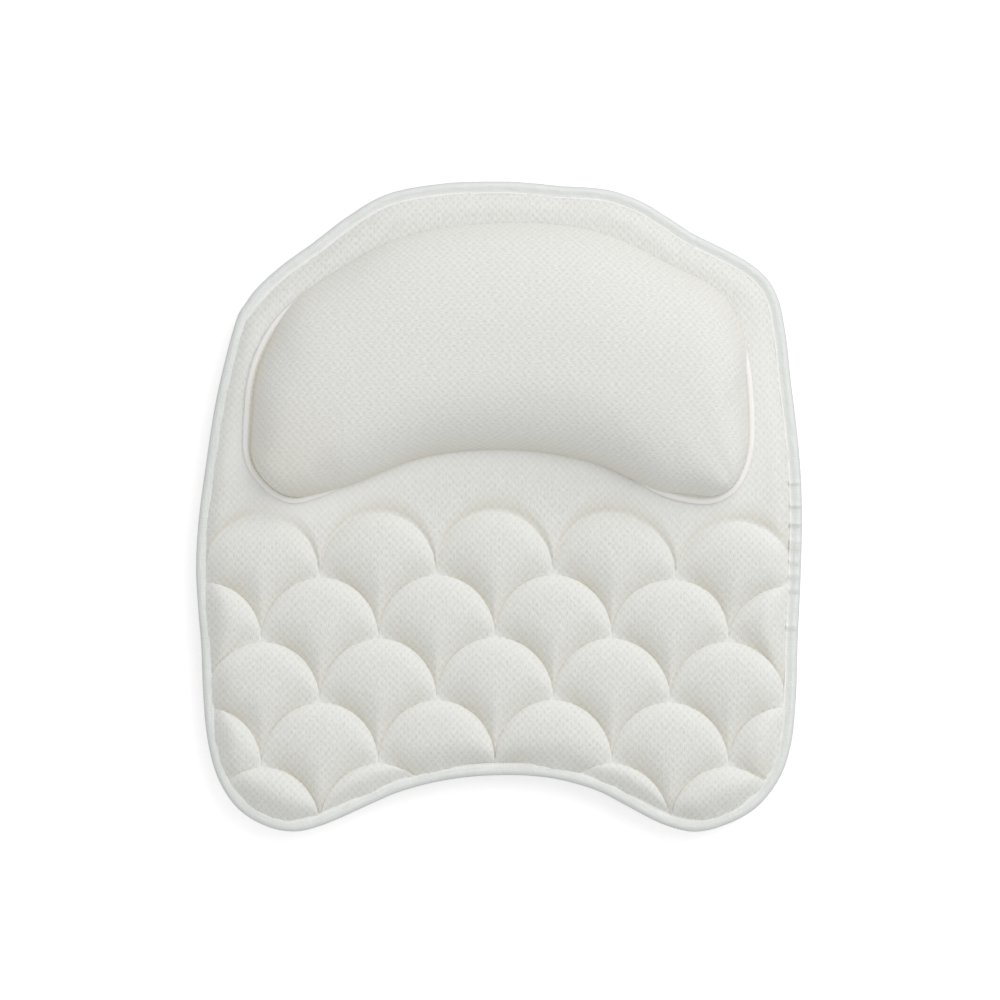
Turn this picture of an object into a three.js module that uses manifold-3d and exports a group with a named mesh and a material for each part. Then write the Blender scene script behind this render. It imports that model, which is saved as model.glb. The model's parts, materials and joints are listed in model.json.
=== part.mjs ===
// A bath pillow: a quilted pad with a crescent head cushion, bound round its edge, on six suction cups.
// Millimetres. The pad lies face up: +Z is out of the face, +Y is the head end, +X is the right of the face.
// The origin is under the middle of the pad, on the plane of the cup rims.

import * as THREE from "three";
import { mergeVertices } from "three/addons/utils/BufferGeometryUtils.js";
import Module from "manifold-3d";

const wasm = await Module();
wasm.setup();

// Gap left between pieces that touch, and how far a cutting shape runs past what it cuts.
const CLEARANCE = 0.3;
const CUT_MARGIN = 1;

// Pad outline.
const PAD_WIDTH = 370;
const PAD_LENGTH = 397;
const SCOOP_DEPTH = 34.4;

// Layers of the pad, each at its full thickness, and the core pressed flat along the edge seam.
const REAR_THICKNESS = 2;
const CORE_THICKNESS = 8;
const FACE_THICKNESS = 2;
const SEAM_CORE = 2;
const SEAM_LAND = 7.5;
const EDGE_ROLL = 18;

// Folded tape round the edge.
const BINDING_WIDTH = 6.5;
const BINDING_THICKNESS = 1;

// Quilting of the face: rows of scales, each scale a half ellipse of stitches.
const SCALE_WIDTH = 71.2;
const SCALE_RISE = 38.1;
const SCALE_CROWN = 9;
const QUILT_SHIFT = -2.5;
const ROW_SAG = 5;
const APRON_RISE = 2;
const APRON_ROLL = 10;

// Head cushion.
const CUSHION_SIDE_MARGIN = 29.5;
const CUSHION_TOP_MARGIN = 26;
const CUSHION_LENGTH = 170.6;
const CUSHION_HEIGHT = 40;
const NECK_DEPTH = 34;
const COVER_THICKNESS = 3;
const WELT_WIDTH = 4;
const WELT_HEIGHT = 3.2;
const QUILT_GAP = 5.5;

// Suction cups and the eyelet patches that hold them.
const CUP_DIAMETER = 52;
const CUP_HEIGHT = 13;
const CUP_RIM = 3;
const CUP_HOLLOW = 9;
const CUP_WALL = 2;
const CUP_LIP = 1;
const CUP_SHOULDER_DIAMETER = 18;
const CUP_NECK_DIAMETER = 9;
const CUP_HEAD_DIAMETER = 15;
const CUP_HEAD_HEIGHT = 6;
const EYELET_GAP = 0.4;
const PATCH_DIAMETER = 36;
const PATCH_THICKNESS = 1;
const CUP_SHOULDER_MARGIN = 110;
const CUP_SIDE_MARGIN = 56;
const CUP_TOP_MARGIN = 64;
const CUP_FOOT_MARGIN = 64;

// Heights of the layers, from the cup rims up.
const PATCH_BASE = CUP_HEIGHT + CLEARANCE;
const REAR_BASE = PATCH_BASE + PATCH_THICKNESS + CLEARANCE;
const CORE_BASE = REAR_BASE + REAR_THICKNESS + CLEARANCE;
const SEAM_BASE = CORE_BASE + SEAM_CORE + CLEARANCE;
const FACE_BASE = CORE_BASE + CORE_THICKNESS + CLEARANCE;
const STITCH_LEVEL = FACE_BASE + FACE_THICKNESS;
const APRON_LEVEL = STITCH_LEVEL + APRON_RISE;
const CUSHION_BASE = APRON_LEVEL + CLEARANCE;

// Places along the length of the pad.
const HEAD_EDGE = PAD_LENGTH / 2;
const CUSHION_TOP = HEAD_EDGE - CUSHION_TOP_MARGIN;
const CUSHION_WIDTH = PAD_WIDTH - 2 * CUSHION_SIDE_MARGIN;
const FIRST_ROW = CUSHION_TOP - CUSHION_LENGTH - QUILT_GAP;

// The pad's outline in three runs. Across is a share of half the width; down is a share of the length.
const RIGHT_SIDE = [
  [0, 0], [0.203, 0.007], [0.361, 0.013], [0.487, 0.035], [0.639, 0.08], [0.8, 0.118], [0.889, 0.152],
  [0.931, 0.197], [0.962, 0.305], [0.993, 0.436], [0.999, 0.537], [0.985, 0.706], [0.972, 0.837],
  [0.936, 0.907], [0.853, 0.961], [0.738, 0.991],
];
// Across as before; rise is a share of the scoop's depth.
const SCOOP = [
  [0.632, 0], [0.507, 0.21], [0.335, 0.7], [0.17, 0.95], [0, 1], [-0.17, 0.92], [-0.342, 0.68],
  [-0.523, 0.245], [-0.655, 0.01],
];
const LEFT_SIDE = [
  [-0.754, 0.994], [-0.863, 0.964], [-0.936, 0.908], [-0.97, 0.83], [-0.983, 0.714], [-1, 0.591],
  [-0.975, 0.46], [-0.873, 0.221], [-0.787, 0.158], [-0.616, 0.095], [-0.365, 0.0185],
];

// The cushion's outline. Its upper side runs from the left tip to the right tip, its lower side runs back.
const CUSHION_UPPER = [
  [-0.909, 0.955], [-0.992, 0.851], [-1, 0.719], [-0.969, 0.504], [-0.862, 0.328], [-0.646, 0.181],
  [-0.382, 0.054], [0.035, 0], [0.398, 0.036], [0.665, 0.149], [0.878, 0.26], [0.969, 0.45], [1, 0.683],
  [0.988, 0.844], [0.929, 0.955],
];
// Across as before; rise is a share of the neck recess's depth.
const CUSHION_LOWER = [
  [0.839, 0], [0.72, 0.03], [0.614, 0.19], [0.504, 0.5], [0.374, 0.75], [0.201, 0.93], [0.004, 1],
  [-0.201, 0.94], [-0.374, 0.75], [-0.5, 0.51], [-0.606, 0.31], [-0.697, 0.12], [-0.811, 0],
];

// Fineness of the faceted surfaces.
const PAD_POINTS = 72;
const CUSHION_POINTS = 64;
const TURNED_SEGMENTS = 20;
const ROLL_STEPS = 3;
const INNER_ROLL_STEPS = 1;
const DOME_STEPS = 6;
const SCALE_STEPS = 6;
const CROWN_STEPS = 5;

const pillow = new THREE.Group();
pillow.name = "bath_pillow";

const materials = {
  mesh: { color: 0xe6e6e0, roughness: 0.85, metalness: 0 },
  cushionMesh: { color: 0xecece7, roughness: 0.85, metalness: 0 },
  foam: { color: 0xf1efe6, roughness: 0.95, metalness: 0 },
  satin: { color: 0xe9edea, roughness: 0.45, metalness: 0 },
  clearPlastic: { color: 0xdfe8ec, roughness: 0.15, metalness: 0 },
  patch: { color: 0xe2e4e1, roughness: 0.7, metalness: 0 },
};

function addPiece(parent, name, geometry, material) {
  const mesh = new THREE.Mesh(geometry, new THREE.MeshStandardMaterial(materials[material]));
  mesh.name = name;
  parent.add(mesh);
  return mesh;
}

// Corner points only, so that equal corners of neighbouring faces become one.
function welded(geometry) {
  const bare = geometry.clone();
  bare.deleteAttribute("normal");
  bare.deleteAttribute("uv");
  return mergeVertices(bare, 1e-4);
}

function toSolid(geometry) {
  const { attributes, index } = welded(geometry);
  const vertProperties = Float32Array.from(attributes.position.array);
  const triVerts = Uint32Array.from(index.array);
  return new wasm.Manifold(new wasm.Mesh({ numProp: 3, vertProperties, triVerts }));
}

function toGeometry(solid) {
  const { vertProperties, triVerts } = solid.getMesh();
  const geometry = new THREE.BufferGeometry();
  geometry.setAttribute("position", new THREE.BufferAttribute(Float32Array.from(vertProperties), 3));
  geometry.setIndex(Array.from(triVerts));
  geometry.computeVertexNormals();
  return geometry;
}

// A geometry from corner points and triples of them; triples with two equal corners are left out.
function fromTriangles(corners, triples) {
  const geometry = new THREE.BufferGeometry();
  geometry.setAttribute("position", new THREE.Float32BufferAttribute(corners.flatMap((p) => p.toArray()), 3));
  geometry.setIndex(triples.flat());
  const joined = welded(geometry);
  const kept = [];
  for (let i = 0; i < joined.index.count; i += 3) {
    const [a, b, c] = [0, 1, 2].map((k) => joined.index.getX(i + k));
    if (a !== b && b !== c && c !== a) {
      kept.push(a, b, c);
    }
  }
  joined.setIndex(kept);
  joined.computeVertexNormals();
  return joined;
}

// A closed loop of points through the given ones, anticlockwise and scaled to an exact width and length.
function outline(points, count, width, length) {
  const spline = new THREE.CatmullRomCurve3(points.map(([x, y]) => new THREE.Vector3(x, y, 0)), true);
  const loop = spline.getPoints(count).slice(0, count).map((p) => new THREE.Vector2(p.x, p.y));
  const box = new THREE.Box2().setFromPoints(loop);
  const middle = box.getCenter(new THREE.Vector2());
  const size = box.getSize(new THREE.Vector2());
  const scale = new THREE.Vector2(width, length).divide(size);
  return loop.map((p) => p.sub(middle).multiply(scale)).reverse();
}

// The loop moved inwards along its own normals.
function inset(loop, distance) {
  return loop.map((point, i) => {
    const next = loop[(i + 1) % loop.length];
    const previous = loop[(i + loop.length - 1) % loop.length];
    const along = next.clone().sub(previous).normalize();
    return point.clone().add(new THREE.Vector2(-along.y, along.x).multiplyScalar(distance));
  });
}

const at = (loop, height) => loop.map((p) => new THREE.Vector3(p.x, p.y, height));

// Faces between rings of equal count, with flat caps on the first and the last ring.
// Where "round" is set, the last ring joins the first instead.
function skin(rings, { firstCap = true, lastCap = true, round = false } = {}) {
  const count = rings[0].length;
  const corners = rings.flat();
  const triples = [];
  const bands = round ? rings.length : rings.length - 1;
  for (let band = 0; band < bands; band += 1) {
    const low = band * count;
    const high = ((band + 1) % rings.length) * count;
    for (let i = 0; i < count; i += 1) {
      const j = (i + 1) % count;
      triples.push([low + i, low + j, high + j], [low + i, high + j, high + i]);
    }
  }
  const flat = (ring) => ring.map((p) => new THREE.Vector2(p.x, p.y));
  const flatCap = (ring) => THREE.ShapeUtils.triangulateShape(flat(ring), []);
  if (firstCap && !round) {
    triples.push(...flatCap(rings[0]).map(([a, b, c]) => [c, b, a]));
  }
  if (lastCap && !round) {
    const top = (rings.length - 1) * count;
    triples.push(...flatCap(rings.at(-1)).map((corner) => corner.map((k) => top + k)));
  }
  return fromTriangles(corners, triples);
}

// A profile of [distance in from the edge, height] carried round a loop.
function sweepRound(loop, profile) {
  return skin(profile.map(([distance, height]) => at(inset(loop, distance), height)), { round: true });
}

const padSide = ([across, down]) => [across * PAD_WIDTH / 2, HEAD_EDGE - down * PAD_LENGTH];
const padFoot = ([across, rise]) => [across * PAD_WIDTH / 2, rise * SCOOP_DEPTH - HEAD_EDGE];
const padEdge = outline(
  [...RIGHT_SIDE.map(padSide), ...SCOOP.map(padFoot), ...LEFT_SIDE.map(padSide)],
  PAD_POINTS, PAD_WIDTH, PAD_LENGTH,
);

// Rings of a layer that swells from the pressed edge seam to its full height.
function rollUp(seamHeight, fullHeight, steps) {
  const rings = [];
  for (let step = 0; step <= steps; step += 1) {
    const turn = (step / steps) * Math.PI / 2;
    const distance = SEAM_LAND + EDGE_ROLL * step / steps;
    const height = seamHeight + (fullHeight - seamHeight) * Math.sin(turn);
    rings.push(at(inset(padEdge, distance), height));
  }
  return rings;
}

const LAYER_INSET = BINDING_THICKNESS + CLEARANCE;
const layerEdge = inset(padEdge, LAYER_INSET);

const cupRow = (margin, y) => [-1, 1].map((side) => new THREE.Vector2(side * (PAD_WIDTH / 2 - margin), y));
const CUP_HIGH = HEAD_EDGE - CUP_TOP_MARGIN;
const CUP_LOW = CUP_FOOT_MARGIN - HEAD_EDGE;
const cupPlaces = [
  ...cupRow(CUP_SHOULDER_MARGIN, CUP_HIGH),
  ...cupRow(CUP_SIDE_MARGIN, (CUP_HIGH + CUP_LOW) / 2),
  ...cupRow(CUP_SIDE_MARGIN, CUP_LOW),
];

// A turned piece about +Z from a profile of [radius, height] that runs up its outside.
function turned(profile) {
  const points = profile.map(([radius, height]) => new THREE.Vector2(radius, height));
  return new THREE.LatheGeometry(points, TURNED_SEGMENTS).rotateX(Math.PI / 2);
}

// A plug at each cup's place, for the holes and pockets of the layers.
function cutAtCups(geometry, radius, low, high) {
  const plug = toSolid(turned([[0, low], [radius, low], [radius, high], [0, high]]));
  let solid = toSolid(geometry);
  for (const place of cupPlaces) {
    solid = solid.subtract(plug.translate([place.x, place.y, 0]));
  }
  return toGeometry(solid);
}

const EYELET_RADIUS = CUP_NECK_DIAMETER / 2 + EYELET_GAP;

function makeRearPanel() {
  const sheet = skin([at(layerEdge, REAR_BASE), at(layerEdge, REAR_BASE + REAR_THICKNESS)]);
  return cutAtCups(sheet, EYELET_RADIUS, REAR_BASE - CUT_MARGIN, REAR_BASE + REAR_THICKNESS + CUT_MARGIN);
}

function makeCorePad() {
  const block = skin([
    at(layerEdge, CORE_BASE),
    at(layerEdge, CORE_BASE + SEAM_CORE),
    ...rollUp(CORE_BASE + SEAM_CORE, CORE_BASE + CORE_THICKNESS, INNER_ROLL_STEPS),
  ]);
  const pocketRadius = CUP_HEAD_DIAMETER / 2 + EYELET_GAP;
  return cutAtCups(block, pocketRadius, CORE_BASE - CUT_MARGIN, CORE_BASE + CUP_HEAD_HEIGHT + CLEARANCE);
}

// One stitched scale as a fan of columns from its arc down to the two arcs of the row below it.
// Each column is a list of points; their heights swell between the stitches, most of all near the arc.
const SCALE_LEAN = 1.6;
function scaleColumns(centreX, baseY) {
  const arcPoint = (x, y, turn) => [x + SCALE_WIDTH / 2 * Math.cos(turn), y + SCALE_RISE * Math.sin(turn)];
  const columns = [];
  for (let step = 0; step <= SCALE_STEPS; step += 1) {
    const share = step / SCALE_STEPS;
    const top = arcPoint(centreX, baseY, Math.PI * (1 - share));
    const side = share <= 0.5 ? -1 : 1;
    const lowerTurn = side < 0 ? Math.PI * (0.5 - share) : Math.PI * (1.5 - share);
    const low = arcPoint(centreX + side * SCALE_WIDTH / 2, baseY - SCALE_RISE, lowerTurn);
    const swell = SCALE_CROWN * Math.sin(Math.PI * share) ** 0.6;
    const column = [];
    for (let level = 0; level <= CROWN_STEPS; level += 1) {
      const up = (1 - Math.cos(Math.PI * level / CROWN_STEPS)) / 2;
      column.push(new THREE.Vector3(
        THREE.MathUtils.lerp(low[0], top[0], up),
        THREE.MathUtils.lerp(low[1], top[1], up),
        STITCH_LEVEL + swell * Math.sin(Math.PI * up ** SCALE_LEAN),
      ));
    }
    columns.push(column);
  }
  return columns;
}

// The flat apron above the first row: columns from the arcs of that row up past the head edge.
function apronColumns(centreX, baseY) {
  return scaleColumns(centreX, baseY).map((column) => {
    const foot = column.at(-1);
    return [
      foot,
      new THREE.Vector3(foot.x, foot.y + APRON_ROLL * 0.35, STITCH_LEVEL + APRON_RISE * 0.75),
      new THREE.Vector3(foot.x, foot.y + APRON_ROLL, APRON_LEVEL),
      new THREE.Vector3(foot.x, HEAD_EDGE + SCALE_RISE, APRON_LEVEL),
    ];
  });
}

// The quilted top as a block: its upper side follows the stitches and its underside lies far below.
function makeQuiltBlock() {
  const corners = [];
  const triples = [];
  const addPatch = (columns) => {
    const start = corners.length;
    const count = columns[0].length;
    columns.forEach((column) => corners.push(...column));
    for (let i = 0; i + 1 < columns.length; i += 1) {
      for (let j = 0; j + 1 < count; j += 1) {
        const a = start + i * count + j;
        const b = a + count;
        triples.push([a, b, b + 1], [a, b + 1, a + 1]);
      }
    }
  };
  const half = SCALE_STEPS / 2;
  const reach = Math.ceil((PAD_WIDTH / 2 + Math.abs(QUILT_SHIFT)) / SCALE_WIDTH);
  const rows = Math.ceil((FIRST_ROW + HEAD_EDGE) / SCALE_RISE) + 1;
  for (let row = 0; row < rows; row += 1) {
    const baseY = FIRST_ROW - SCALE_RISE * (row + 1);
    const shifted = row % 2 === 1;
    for (let n = -reach; n <= reach; n += 1) {
      const centreX = (n + (shifted ? 0.5 : 0)) * SCALE_WIDTH + QUILT_SHIFT;
      const first = !shifted && n === -reach ? half : 0;
      const last = !shifted && n === reach ? half : SCALE_STEPS;
      if (shifted && n === reach) {
        continue;
      }
      addPatch(scaleColumns(centreX, baseY).slice(first, last + 1));
      if (row === 0) {
        addPatch(apronColumns(centreX, baseY).slice(first, last + 1));
      }
    }
  }
  corners.forEach((p) => {
    p.y -= ROW_SAG * (2 * p.x / PAD_WIDTH) ** 2;
  });
  const top = fromTriangles(corners, triples);
  return standOn(top, 0);
}

// A solid between a surface seen from above and a flat underside.
function standOn(surface, floor) {
  const position = surface.attributes.position;
  const count = position.count;
  const corners = [];
  for (let i = 0; i < count; i += 1) {
    corners.push(new THREE.Vector3().fromBufferAttribute(position, i));
  }
  corners.push(...corners.map((p) => new THREE.Vector3(p.x, p.y, floor)));
  const triples = [];
  const edges = new Map();
  for (let i = 0; i < surface.index.count; i += 3) {
    const triple = [0, 1, 2].map((k) => surface.index.getX(i + k));
    triples.push(triple, triple.map((k) => k + count).reverse());
    triple.forEach((a, k) => {
      const b = triple[(k + 1) % 3];
      if (!edges.delete(`${b},${a}`)) {
        edges.set(`${a},${b}`, [a, b]);
      }
    });
  }
  for (const [a, b] of edges.values()) {
    triples.push([b, a, a + count], [b, a + count, b + count]);
  }
  return fromTriangles(corners, triples);
}

function makeQuiltedFace() {
  const hump = STITCH_LEVEL + SCALE_CROWN + CLEARANCE;
  const envelope = toSolid(skin([
    at(layerEdge, SEAM_BASE),
    at(layerEdge, SEAM_BASE + FACE_THICKNESS),
    ...rollUp(SEAM_BASE + FACE_THICKNESS, hump, ROLL_STEPS),
  ]));
  const underside = toSolid(skin([
    at(layerEdge, SEAM_BASE - CUT_MARGIN),
    at(layerEdge, SEAM_BASE),
    ...rollUp(SEAM_BASE, FACE_BASE, INNER_ROLL_STEPS),
  ]));
  return toGeometry(envelope.intersect(toSolid(makeQuiltBlock())).subtract(underside));
}

function makeBinding() {
  const low = REAR_BASE - CLEARANCE - BINDING_THICKNESS;
  const high = SEAM_BASE + FACE_THICKNESS + CLEARANCE + BINDING_THICKNESS;
  return sweepRound(padEdge, [
    [BINDING_THICKNESS / 2, low],
    [0, low + BINDING_THICKNESS],
    [0, high - BINDING_THICKNESS],
    [BINDING_THICKNESS / 2, high],
    [BINDING_WIDTH, high],
    [BINDING_WIDTH, high - BINDING_THICKNESS],
    [BINDING_THICKNESS, high - BINDING_THICKNESS],
    [BINDING_THICKNESS, low + BINDING_THICKNESS],
    [BINDING_WIDTH, low + BINDING_THICKNESS],
    [BINDING_WIDTH, low],
  ]);
}

// The cushion's seam: half its points lie on each side of the crescent, pairing off from tip to tip.
const cushionSide = ([across, down]) => [across * CUSHION_WIDTH / 2, CUSHION_TOP - down * CUSHION_LENGTH];
const cushionFoot = ([across, rise]) => [
  across * CUSHION_WIDTH / 2,
  CUSHION_TOP - CUSHION_LENGTH + rise * NECK_DEPTH,
];

function cushionLoop() {
  const upper = CUSHION_UPPER.map(cushionSide);
  const lower = CUSHION_LOWER.map(cushionFoot);
  const points = [...upper, ...lower].map(([x, y]) => new THREE.Vector3(x, y, 0));
  const spline = new THREE.CatmullRomCurve3(points, true);
  const loop = [];
  for (let i = 0; i < CUSHION_POINTS; i += 1) {
    const point = spline.getPoint(1 - i / CUSHION_POINTS);
    loop.push(new THREE.Vector2(point.x, point.y));
  }
  return loop;
}

const cushionSeam = cushionLoop();

// A crescent dome: a short wall, then rings that close on the ridge between the paired points of the seam.
// The powers shape its cross-section: the first how broad the crown is, the second how steep the foot.
const DOME_CROWN_POWER = 2.4;
const DOME_FOOT_POWER = 0.85;
const WALL_TOP = CUSHION_BASE + WELT_HEIGHT + CLEARANCE;
function crescentDome(seam, base, crown) {
  const count = seam.length;
  const rings = [at(seam, base)];
  for (let step = 0; step <= DOME_STEPS; step += 1) {
    const spread = step === DOME_STEPS ? 0 : Math.cos(Math.PI / 2 * step / DOME_STEPS);
    const rise = (1 - spread ** DOME_CROWN_POWER) ** DOME_FOOT_POWER;
    rings.push(seam.map((point, i) => {
      const mate = seam[(count - i) % count];
      const plan = point.clone().add(mate).multiplyScalar(0.5).lerp(point, spread);
      const fromMiddle = Math.abs(1 - 4 * Math.min(i, count - i) / count);
      const fullness = Math.sqrt(1 - fromMiddle ** 3);
      return new THREE.Vector3(plan.x, plan.y, WALL_TOP + (crown - WALL_TOP) * fullness * rise);
    }));
  }
  return skin(rings, { lastCap: false });
}

const CUSHION_CROWN = CUSHION_BASE + CUSHION_HEIGHT;
const coverSeam = inset(cushionSeam, WELT_WIDTH + CLEARANCE);

function makeCushionCover() {
  const outside = toSolid(crescentDome(coverSeam, CUSHION_BASE, CUSHION_CROWN));
  const hollowSeam = inset(coverSeam, COVER_THICKNESS);
  const hollowCrown = CUSHION_CROWN - COVER_THICKNESS;
  const hollow = toSolid(crescentDome(hollowSeam, CUSHION_BASE - CUT_MARGIN, hollowCrown));
  return toGeometry(outside.subtract(hollow));
}

function makeCushionFill() {
  const skinDepth = COVER_THICKNESS + CLEARANCE;
  return crescentDome(inset(coverSeam, skinDepth), CUSHION_BASE, CUSHION_CROWN - skinDepth);
}

function makeCushionWelt() {
  const high = CUSHION_BASE + WELT_HEIGHT;
  const chamfer = WELT_HEIGHT / 3;
  return sweepRound(cushionSeam, [
    [0, CUSHION_BASE + chamfer],
    [0, high - chamfer],
    [chamfer, high],
    [WELT_WIDTH - chamfer, high],
    [WELT_WIDTH, CUSHION_BASE + chamfer],
    [WELT_WIDTH - chamfer, CUSHION_BASE],
    [chamfer, CUSHION_BASE],
  ]);
}

// A cup from the ceiling of its hollow out to the rim, up its back to the shoulder, and through the eyelet.
function makeCup() {
  const rim = CUP_DIAMETER / 2;
  const shoulder = CUP_SHOULDER_DIAMETER / 2;
  const neck = CUP_NECK_DIAMETER / 2;
  const head = CUP_HEAD_DIAMETER / 2;
  const headTop = CORE_BASE + CUP_HEAD_HEIGHT;
  return turned([
    [0, CUP_HOLLOW],
    [shoulder + CUP_WALL, CUP_HOLLOW - CUP_WALL],
    [rim - CUP_RIM, 0],
    [rim, 0],
    [rim, CUP_LIP],
    [shoulder, CUP_HEIGHT - CUP_WALL],
    [shoulder, CUP_HEIGHT],
    [neck, CUP_HEIGHT],
    [neck, CORE_BASE],
    [head, CORE_BASE],
    [head, CORE_BASE + CUP_HEAD_HEIGHT / 2],
    [neck, headTop],
    [0, headTop],
  ]);
}

function makePatch() {
  const rim = PATCH_DIAMETER / 2;
  const high = PATCH_BASE + PATCH_THICKNESS;
  return turned([[EYELET_RADIUS, PATCH_BASE], [rim, PATCH_BASE], [rim, high], [EYELET_RADIUS, high],
    [EYELET_RADIUS, PATCH_BASE]]);
}

addPiece(pillow, "rear_panel", makeRearPanel(), "mesh");
addPiece(pillow, "core_pad", makeCorePad(), "foam");
addPiece(pillow, "quilted_face", makeQuiltedFace(), "mesh");
addPiece(pillow, "edge_binding", makeBinding(), "satin");
addPiece(pillow, "cushion_cover", makeCushionCover(), "cushionMesh");
addPiece(pillow, "cushion_fill", makeCushionFill(), "foam");
addPiece(pillow, "cushion_welt", makeCushionWelt(), "satin");

cupPlaces.forEach((place, index) => {
  const seat = new THREE.Group();
  seat.position.set(place.x, place.y, 0);
  pillow.add(seat);
  addPiece(seat, `suction_cup_${index + 1}`, makeCup(), "clearPlastic");
  addPiece(seat, `cup_patch_${index + 1}`, makePatch(), "patch");
});

export default pillow;
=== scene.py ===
"""A bath pillow lying face up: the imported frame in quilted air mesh, satin tape, thread and clear cups."""
import json
import math
from contextlib import contextmanager

import bmesh
import bpy
import numpy as np
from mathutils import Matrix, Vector
from mathutils.geometry import delaunay_2d_cdt


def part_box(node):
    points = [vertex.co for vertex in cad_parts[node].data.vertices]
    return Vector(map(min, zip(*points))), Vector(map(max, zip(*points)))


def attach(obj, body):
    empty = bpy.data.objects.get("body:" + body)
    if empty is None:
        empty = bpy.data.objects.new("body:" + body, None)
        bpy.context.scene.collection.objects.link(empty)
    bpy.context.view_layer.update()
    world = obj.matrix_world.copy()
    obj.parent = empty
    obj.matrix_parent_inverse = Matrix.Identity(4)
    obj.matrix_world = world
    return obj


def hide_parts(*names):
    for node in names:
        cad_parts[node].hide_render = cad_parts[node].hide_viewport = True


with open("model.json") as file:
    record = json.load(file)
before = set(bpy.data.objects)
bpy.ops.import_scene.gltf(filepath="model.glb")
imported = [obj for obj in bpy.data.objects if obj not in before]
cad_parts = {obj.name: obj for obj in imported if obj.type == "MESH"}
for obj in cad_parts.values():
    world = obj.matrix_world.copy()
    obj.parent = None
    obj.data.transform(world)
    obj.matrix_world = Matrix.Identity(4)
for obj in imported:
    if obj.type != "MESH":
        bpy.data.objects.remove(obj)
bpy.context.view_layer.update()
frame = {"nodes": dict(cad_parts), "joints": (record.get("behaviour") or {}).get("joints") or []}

MM = 0.001
CLEARANCE = 0.3 * MM
LEVEL_REACH = 0.05 * MM  # corners this near a height count as lying on it
JOIN_REACH = 0.01 * MM  # points of two patches this near are one
WELD_REACH = 0.02 * MM
AXIS_REACH = 0.001 * MM

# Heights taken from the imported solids.
BINDING_LOW, BINDING_HIGH = (corner.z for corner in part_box("edge_binding"))
REAR_LOW, REAR_HIGH = (corner.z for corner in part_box("rear_panel"))
WELT_LOW, WELT_HIGH = (corner.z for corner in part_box("cushion_welt"))
CORE_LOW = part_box("core_pad")[0].z
FACE_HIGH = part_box("quilted_face")[1].z
COVER_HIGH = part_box("cushion_cover")[1].z

# Pad and binding. Depths run inwards from the pad's edge.
TAPE_WIDTH = 7.8 * MM
TAPE_THICKNESS = 1 * MM
TAPE_SEAM = 6.9 * MM
UNDER_SEAM = TAPE_SEAM - 0.6 * MM
SEAM_SINK = 0.1 * MM
HEM_HIGHLIGHT_WIDTH = 2 * MM
TAPE_FOLD_SHADE = 0.9 * MM
TAPE_EASE = 0.1 * MM
EASE_WAVES = ((31, 0), (47, 1), (83, 2))  # how many round the pad, and the phase of each
UNDER_EASE = 0.3  # share of the tape's ease that shows on its underside
TAPE_DRAW = 1.6 * MM  # cloth this near the tape's inner edge is drawn to it
PUCKERS = MM * np.array([14.7, 0.6, -11, -21.4, -25.7, -34.2, -43, -51, -74])
PUCKER_RISE = 1.9 * MM
PUCKER_WIDTH = 0.9 * MM
TUCKED_EDGE = 2.5 * MM
SEAM_LEVEL = BINDING_HIGH - TAPE_THICKNESS - CLEARANCE
SEAM_LAND = 7.5 * MM
LEFT_BULGE = 2.2 * MM
EDGE_ROLL = 18 * MM
ROLL_POWER = 0.8
PAINTED_LIGHT_REACH = 16 * MM
REAR_INSET = 1.3 * MM

# Quilting.
SCALE_WIDTH = 71.2 * MM
SCALE_RISE = 38.1 * MM
QUILT_SHIFT = -2.5 * MM
ROW_SAG = 5 * MM
FIRST_ROW = -3.6 * MM
FIRST_ROW_STRAY = (6.5 * MM, -3.5 * MM)
STRAY_SPAN = (-80 * MM, -20 * MM, 10 * MM, 50 * MM)
APRON_LEVEL = WELT_LOW - CLEARANCE
STITCH_LEVEL = APRON_LEVEL - 2 * MM
APRON_ROLL = 14 * MM
APRON_SPREAD = 40 * MM
APRON_SHADE = 16 * MM
APRON_MARGIN = 10 * MM
SCALE_OVERHANG = 1.8 * MM
FOLD_SHADE = 10 * MM
RIM_SHINE = 7 * MM
RIM_ROUND = 2 * MM
LOW_STUFFING = 0.12
HIGH_STUFFING = 2
CROWN_ROUNDNESS = 0.55
TIP_ROUNDNESS = 0.4
TIP_FULLNESS = 0.15  # a scale is thin where it runs in between the two below it
SCALE_COLUMNS = 18
SCALE_LEVELS = 14
APRON_LEVELS = 56
RELAX_STEPS = 700

# Head cushion. Insets run inwards from the welt's outer edge.
LEFT_TIP = (-141.5 * MM, 9.6 * MM)
LIFTED_FOOT = 112 * MM
LIFTED_WIDTH = 16 * MM
LEFT_SPAN = (10 * MM, 50 * MM, 90 * MM, 125 * MM)
NECK_SPAN = (-110 * MM, -85 * MM, 78 * MM, 94 * MM)
WELT_WIDTH = 4 * MM
WELT_SIDES = 14
WELT_SEAM = 3.1 * MM
WELT_SEAM_SINK = 0.3 * MM
COVER_INSET = 0.6 * MM
ENDS_INSET = 3.4 * MM
LEFT_INSET = 1.2 * MM
LIFTED_INSET = 2.4 * MM
HEAD_OVERHANG = 0.9 * MM
NECK_OVERHANG = 1.7 * MM
ENDS_FOLD = 1.6 * MM
COVER_HEM = 1 * MM  # over the welt's underside
FOOT_SINK = 0.8 * MM  # under the welt's top
CROWN_ROOM = 2 * MM  # left under the top of the solid for the swell
# Painted shade on the cushion: how high it reaches over the foot, its weight over the left lobe, and how much
# of it the head and the right end are spared.
FOOT_SHADE = 24 * MM
LEFT_SHADE = 0.35
UNSHADED_HEAD = 0.75
UNSHADED_RIGHT = 0.6
DOME_RINGS = 26
DOME_CROWN_POWER = 2.4
DOME_FOOT_POWER = 0.85
NECK_FULLNESS = 3.4

# Looks of the air mesh.
KNOT_PALENESS = 0.3
# Painted highlight over the rims and beside the cushion: how much paler the cloth turns and how far its slits
# close.
RIM_HIGHLIGHT = 0.42
HIGHLIGHT_SLIT_CLOSING = 0.5

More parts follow.
